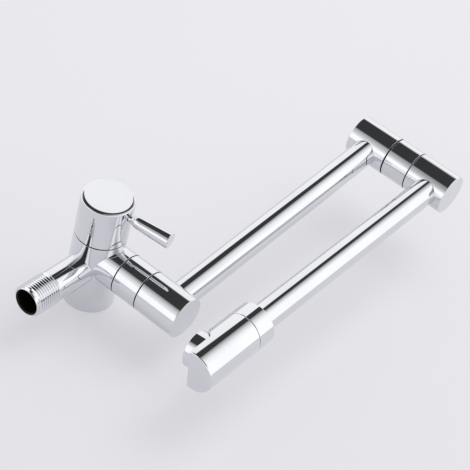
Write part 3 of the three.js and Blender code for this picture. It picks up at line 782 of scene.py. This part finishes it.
def makeHead():
    h, a = head, arms
    roll = math.radians(layout["headRoll"])
    side = upperWay.cross(Vector((0, 0, 1)))
    down = -math.cos(roll) * Vector((0, 0, 1)) - math.sin(roll) * side
    at = Vector((elbow[0], elbow[1], layout["upperArmZ"]))
    place = axisFrame(at, upperWay, down)
    socket = a["armRadius"] + h["collarGap"]
    # The collar's inner faces and the head's face at its seam get painted near-black shade.
    collar = turned([
        (socket, h["collarFrom"]), (a["hubRadius"], h["collarFrom"], a["edge"]),
        (a["hubRadius"], h["collarTo"], seamRound), (h["bore"], h["collarTo"]),
        (h["bore"], h["flangeSeat"]), (socket, h["flangeSeat"])], place, closed=True,
        paintedShade=lambda r, z: r < a["hubRadius"] - seamRound and z > h["collarFrom"] + touch)
    fitted("headCollarShell", [("+", collar)], "upper_arm_set", "head_collar", [chrome, gapShadeFinish])

    shell = turned([
        (0, h["from"]), (a["hubRadius"], h["from"], h["startRound"]),
        (a["hubRadius"], h["to"], h["endRound"]), (0, h["to"])], place,
        paintedShade=lambda r, z: z < h["from"] + touch)
    clear = h["clear"]
    flat = block((h["flatDrop"], -clear, h["aeratorAt"]), (clear, clear, h["to"] + past), place)
    throat = bore(h["bore"], h["from"] - past, h["boreTo"], place)
    across = axisFrame(at + upperWay * h["aeratorAt"], down, upperWay)
    cutter = turned([
        (0, h["flatDrop"]), (h["cutterRadius"], h["flatDrop"]),
        (h["cutterRadius"], h["cutterReach"]), (0, h["cutterReach"])], across)
    seat = bore(h["seat"], h["seatTop"], h["seatReach"], across, smooth)
    way = axisFrame(at - down * h["channelRise"], upperWay, down)
    channel = bore(h["channelRadius"], h["channelFrom"], h["channelTo"], way, 48)
    fitted("spoutHeadShell",
           [("+", shell), ("-", flat), ("-", cutter), ("-", throat), ("-", channel), ("-", seat)],
           "spout_head_set", "spout_head", [chrome, gapShadeFinish])

    inner = h["aeratorRadius"] - h["aeratorWall"]
    lip = inner - h["aeratorLip"]
    lipFrom = h["aeratorBottom"] - h["lipHeight"]
    shoulder = h["flatDrop"] + h["aeratorGap"]
    housing = turned([
        (inner, h["aeratorTop"]), (h["aeratorStub"], h["aeratorTop"]), (h["aeratorStub"], shoulder),
        (h["aeratorRadius"], shoulder, 0.15), (h["aeratorRadius"], h["aeratorBottom"], 0.5),
        (lip, h["aeratorBottom"], 0.3), (lip, lipFrom, 0.1), (inner, lipFrom)], across, closed=True)
    fitted("aeratorShell", [("+", housing)], "spout_head_set", "aerator_housing", [chrome])


makeHead()
print("spout head made")


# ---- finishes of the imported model's own pieces

nodeFinishes = {
    "brass": (brass, ["cartridge_body", "cartridge_stem", "base_spigot", "elbow_spigot", "head_spigot"]),
    "steel": (steel, ["handle_grub_screw", "stem_clip", "head_clip"]),
    "rubber": (rubber, ["seat_seal", "cartridge_o_ring", "stem_o_ring", "base_lower_o_ring",
                        "base_upper_o_ring", "elbow_lower_o_ring", "elbow_upper_o_ring", "head_o_ring",
                        "aerator_washer"]),
    "nylon": (nylon, ["base_bush", "elbow_bush", "aerator_insert"]),
    "ceramic": (ceramic, ["fixed_disc", "moving_disc"]),
}
for finish, names in nodeFinishes.values():
    for name in names:
        slots = frame["nodes"][name].material_slots
        for i in range(len(slots)):
            slots[i].material = finish
print("packed pieces finished")


# ---- floor, light and camera

floorLook = {
    "colour": (0.80, 0.80, 0.83), "gloss": 0.16, "glossSpread": 0.03, "sheen": 0.04, "cloud": 3,
    "size": 3.0, "shift": 0.15,  # further out on the arms' side
    "lift": 0.5, "glow": (0.79, 0.785, 0.83),  # share of its own light in what is seen of it
    "keepAbove": ["elbowLowerShell", "elbowUpperShell", "headCollarShell", "spoutHeadShell"],
}


def makeFloor():
    look = floorLook
    x = layout["floorX"] * mm
    half = look["size"] / 2
    out = -half - look["shift"]
    mesh = bpy.data.meshes.new("floor")
    mesh.from_pydata([(x, out, -half), (x, half, -half), (x, half, half), (x, out, half)],
                     [], [(0, 1, 2, 3)])
    floor = bpy.data.objects.new("floor", mesh)
    bpy.context.scene.collection.objects.link(floor)
    material, f = newFinish("paleFloor")
    cloud = f.noise(f.objectSpace(), scale=look["cloud"], detail=2)
    matt = f.node("ShaderNodeBsdfDiffuse", inputs={"Color": shade(look["colour"])})
    shine = f.node("ShaderNodeBsdfGlossy", inputs={
        "Color": shade((1.0, 1.0, 1.0)),
        "Roughness": f.spread(cloud, look["gloss"], look["gloss"] + look["glossSpread"])})
    surface = f.node("ShaderNodeMixShader", inputs={0: look["sheen"], 1: matt, 2: shine})
    glow = f.node("ShaderNodeEmission", inputs={"Color": shade(look["glow"]), "Strength": 1.0})
    path = f.tree.nodes.new("ShaderNodeLightPath")
    rays = [Wire(f.tree, path.outputs[name]) for name in
            ("Is Camera Ray", "Is Glossy Ray", "Is Transmission Ray")]
    looked = rays[0].maths("MAXIMUM", rays[1]).maths("MAXIMUM", rays[2])
    surface = f.node("ShaderNodeMixShader", inputs={0: looked * look["lift"], 1: surface, 2: glow})
    behind = f.node("ShaderNodeNewGeometry", output="Backfacing")
    clear = f.node("ShaderNodeBsdfTransparent")
    f.output(f.node("ShaderNodeMixShader", inputs={0: behind, 1: surface, 2: clear}))
    mesh.materials.append(material)
    sinkFloor(floor, x)


def sinkFloor(floor, height):
    # Keeps the floor under the lowest of the pieces that swing, wherever the arms are turned.
    tree = bpy.data.node_groups.new("floorUnderArms", "GeometryNodeTree")
    tree.interface.new_socket("Geometry", in_out="INPUT", socket_type="NodeSocketGeometry")
    tree.interface.new_socket("Geometry", in_out="OUTPUT", socket_type="NodeSocketGeometry")
    source, end = tree.nodes.new("NodeGroupInput"), tree.nodes.new("NodeGroupOutput")
    drop = Wire(tree, tree.nodes.new("ShaderNodeValue").outputs[0])
    drop.socket.default_value = 0.0
    for name in floorLook["keepAbove"]:
        piece = tree.nodes.new("GeometryNodeObjectInfo")
        piece.transform_space = "RELATIVE"
        piece.inputs["Object"].default_value = bpy.data.objects[name]
        box = tree.nodes.new("GeometryNodeBoundBox")
        tree.links.new(piece.outputs["Geometry"], box.inputs["Geometry"])
        corner = tree.nodes.new("ShaderNodeSeparateXYZ")
        tree.links.new(box.outputs["Min"], corner.inputs[0])
        drop = drop.maths("MINIMUM", Wire(tree, corner.outputs[0]) - height)
    offset = tree.nodes.new("ShaderNodeCombineXYZ")
    tree.links.new(drop.socket, offset.inputs["X"])
    move = tree.nodes.new("GeometryNodeTransform")
    tree.links.new(source.outputs[0], move.inputs["Geometry"])
    tree.links.new(offset.outputs[0], move.inputs["Translation"])
    tree.links.new(move.outputs[0], end.inputs[0])
    floor.modifiers.new("underArms", "NODES").node_group = tree


# The studio as chrome sees it: bright all round, with dark flags and a soft shade about them, a lit gap
# at one corner, and the same behind. Places are slopes from the object, y / x across and z / x up.
studio = {
    "backdrop": (0.795, 0.795, 0.825), "fill": 0.76, "fillColour": (0.99, 0.99, 1.0), "brightest": 1.32,
    "cool": 1.01, "nearestX": 0.02,
    "flags": [
        ((-0.86, 0.47), (-0.90, -0.15)), ((-1.06, -0.8), (-0.50, -0.20)), ((0.2, 1.6), (-0.28, 0.8))],
    "gapAcross": -0.84, "gapUp": -0.57, "gapSoft": 0.03, "gapTone": 0.87,
    "reach": (1.15, 0.70),
    "ramp": [(0.0, 0.036), (0.02, 0.05), (0.085, 0.27), (0.22, 0.42), (0.48, 0.68), (1.0, 1.0)],
}


def makeWorld():
    world = bpy.data.worlds.new("studio")
    bpy.context.scene.world = world
    f = Finish(world)
    toward = f.node("ShaderNodeTexCoord", output="Generated")
    split = f.tree.nodes.new("ShaderNodeSeparateXYZ")
    f.tree.links.new(toward.socket, split.inputs[0])
    x, y, z = (Wire(f.tree, split.outputs[i]) for i in range(3))
    ahead = x.maths("ABSOLUTE").maths("MAXIMUM", studio["nearestX"])
    across, up = y / ahead, z / ahead

    def beyond(value, low, high, reach):
        # how far a slope lies outside a range, as a share of the shade's reach
        return (low - value).maths("MAXIMUM", value - high).maths("MAXIMUM", 0.0) / reach

    def away(acrossRange, upRange):
        wide = beyond(across, *acrossRange, studio["reach"][0])
        tall = beyond(up, *upRange, studio["reach"][1])
        return (wide * wide + tall * tall).maths("SQRT")

    nearest = away(*studio["flags"][0])
    for flag in studio["flags"][1:]:
        nearest = nearest.maths("MINIMUM", away(*flag))
    stops = [(at, (v, v, v * studio["cool"], 1.0)) for at, v in studio["ramp"]]
    tone = f.node("ShaderNodeValToRGB", {"stops": stops}, {"Fac": nearest})

    def short(limit, value):
        # 0 above a limit, rising to 1 below it
        return ((limit - value) / studio["gapSoft"]).maths("MAXIMUM", 0.0).maths("MINIMUM", 1.0)

    aside, under = short(studio["gapAcross"], across), short(studio["gapUp"], up)
    light = studio["gapTone"]
    tone = f.blend(aside * under, tone, (light, light, light * studio["cool"], 1.0))
    sky = f.node("ShaderNodeVectorMath", {"operation": "SCALE"}, {
        "Vector": tone, "Scale": studio["brightest"]})
    path = f.tree.nodes.new("ShaderNodeLightPath")
    camera = Wire(f.tree, path.outputs["Is Camera Ray"])
    glossy = Wire(f.tree, path.outputs["Is Glossy Ray"])
    through = Wire(f.tree, path.outputs["Is Transmission Ray"])
    fill = shade([c * studio["fill"] for c in studio["fillColour"]])
    colour = f.blend(glossy, fill, sky)
    colour = f.blend(camera.maths("MAXIMUM", through), colour, shade(studio["backdrop"]))
    f.output(f.node("ShaderNodeBackground", inputs={"Color": colour, "Strength": 1.0}),
             "ShaderNodeOutputWorld")


softbox = {
    "place": (1.3, -0.75, 0.20), "aim": (0, -0.15, 0.06), "size": 1.2, "power": 8,
    "colour": (1.0, 0.99, 0.98),
}


def makeLamp():
    lamp = bpy.data.lights.new("mainSoftbox", "AREA")
    lamp.shape = "DISK"
    lamp.size = softbox["size"]
    lamp.energy = softbox["power"]
    lamp.color = softbox["colour"]
    thing = bpy.data.objects.new("mainSoftbox", lamp)
    bpy.context.scene.collection.objects.link(thing)
    place = Vector(softbox["place"])
    thing.location = place
    thing.rotation_mode = "QUATERNION"
    thing.rotation_quaternion = (Vector(softbox["aim"]) - place).to_track_quat("-Z", "Y")
    thing.visible_glossy = False


# The camera's place and way of looking come from the outlines and rims that the photograph shows.
shot = {
    "place": (0.70578, 0.56463, 0.43114), "right": (0.20889, -0.61821, 0.75775),
    "forward": (-0.65514, -0.66373, -0.36090), "lens": 126.9, "sensor": 36.0, "near": 0.05, "far": 20,
}


def makeCamera():
    camera = bpy.data.cameras.new("camera")
    camera.lens = shot["lens"]
    camera.sensor_width = shot["sensor"]
    camera.sensor_fit = "HORIZONTAL"
    camera.clip_start, camera.clip_end = shot["near"], shot["far"]
    camera.dof.use_dof = False
    thing = bpy.data.objects.new("camera", camera)
    bpy.context.scene.collection.objects.link(thing)
    forward = Vector(shot["forward"]).normalized()
    right = Vector(shot["right"])
    right = (right - forward * right.dot(forward)).normalized()
    turn = Matrix((right, right.cross(forward), -forward)).transposed().to_4x4()
    turn.translation = Vector(shot["place"])
    thing.matrix_world = turn
    bpy.context.scene.camera = thing


makeFloor()
makeWorld()
makeLamp()
makeCamera()
bpy.context.scene.view_settings.view_transform = "Standard"
print("stage made")
